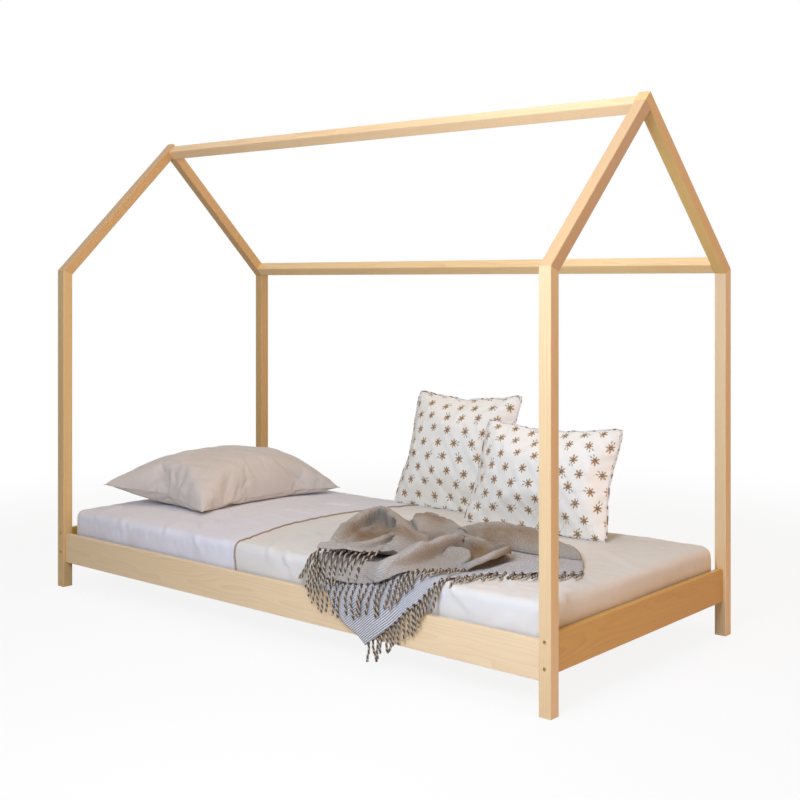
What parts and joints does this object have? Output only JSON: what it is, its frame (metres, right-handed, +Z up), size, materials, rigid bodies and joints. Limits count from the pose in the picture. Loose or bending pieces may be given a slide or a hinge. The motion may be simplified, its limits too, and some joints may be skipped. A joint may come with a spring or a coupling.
{
  "type": "house frame bed",
  "caption": "Single child's bed inside a house-shaped frame of square pine, with ridge and eave beams, low boards, slatted base, mattress, sheets, pillow, cushions and a fringed throw.",
  "frame": {"origin": "on the floor under the middle of the timber frame", "axes": "+X along the bed from head to foot, +Y from the front to the back with the eave beam, +Z up"},
  "size_m": [2.066, 0.9759, 1.574],
  "materials": {
    "pine_stock": "planed pine, clear matt lacquer",
    "pine_board": "planed pine board, clear matt lacquer",
    "spruce_slat": "planed spruce, untreated",
    "beech_dowel": "plain beech",
    "zinc_casting": "die-cast zinc",
    "zinc_plated_steel": "zinc-plated steel",
    "polyester_webbing": "woven webbing",
    "mattress_cover": "knitted cover over foam",
    "fitted_sheet_cotton": "grey-beige cotton percale",
    "top_sheet_cotton": "cotton sateen with a piped edge",
    "pillowcase_cotton": "cotton sateen",
    "cushion_cotton": "white cotton, small scattered sprigs",
    "throw_wool": "grey melange weave, twisted fringe"
  },
  "bodies": {
    "frame": {"post_head_front": "pine_stock", "post_head_back": "pine_stock", "post_foot_front": "pine_stock", "post_foot_back": "pine_stock", "rafter_head_front": "pine_stock", "rafter_head_back": "pine_stock", "rafter_foot_front": "pine_stock", "rafter_foot_back": "pine_stock", "ridge_beam": "pine_stock", "eave_beam_back": "pine_stock", "side_board_front": "pine_board", "side_board_back": "pine_board", "end_board_head": "pine_board", "end_board_foot": "pine_board", "ledger_front": "pine_board", "ledger_back": "pine_board", "slat_01": "spruce_slat", "slat_02": "spruce_slat", "slat_03": "spruce_slat", "slat_04": "spruce_slat", "slat_05": "spruce_slat", "slat_06": "spruce_slat", "slat_07": "spruce_slat", "slat_08": "spruce_slat", "slat_09": "spruce_slat", "slat_10": "spruce_slat", "slat_11": "spruce_slat", "slat_12": "spruce_slat", "slat_13": "spruce_slat", "slat_ribbon_front": "polyester_webbing", "slat_ribbon_back": "polyester_webbing", "mitre_dowels": "beech_dowel", "beam_cams": "zinc_casting", "beam_cam_bolts": "zinc_plated_steel", "beam_dowels": "beech_dowel", "side_board_cams": "zinc_casting", "side_board_cam_bolts": "zinc_plated_steel", "side_board_dowels": "beech_dowel", "end_board_bolts": "zinc_plated_steel", "end_board_barrel_nuts": "zinc_plated_steel", "ledger_screws": "zinc_plated_steel", "slat_screws": "zinc_plated_steel"},
    "mattress": {"mattress": "mattress_cover", "fitted_sheet": "fitted_sheet_cotton", "top_sheet": "top_sheet_cotton"},
    "pillow": {"pillow": "pillowcase_cotton"},
    "cushion_back": {"cushion_back": "cushion_cotton"},
    "cushion_front": {"cushion_front": "cushion_cotton"},
    "throw": {"throw": "throw_wool"}
  },
  "joints": [
    {"name": "mattress_lift", "type": "slide", "parent": "frame", "child": "mattress", "axis": [0, 0, 1], "range_m": [0, 0.2]},
    {"name": "pillow_lift", "type": "slide", "parent": "mattress", "child": "pillow", "axis": [0, 0, 1], "range_m": [0, 0.2]},
    {"name": "cushion_back_lift", "type": "slide", "parent": "mattress", "child": "cushion_back", "axis": [0, 0.1736, 0.9848], "range_m": [0, 0.15]},
    {"name": "cushion_front_lift", "type": "slide", "parent": "mattress", "child": "cushion_front", "axis": [0, 0.1736, 0.9848], "range_m": [0, 0.15]},
    {"name": "throw_lift", "type": "slide", "parent": "mattress", "child": "throw", "axis": [0, 0, 1], "range_m": [0, 0.2]}
  ]
}
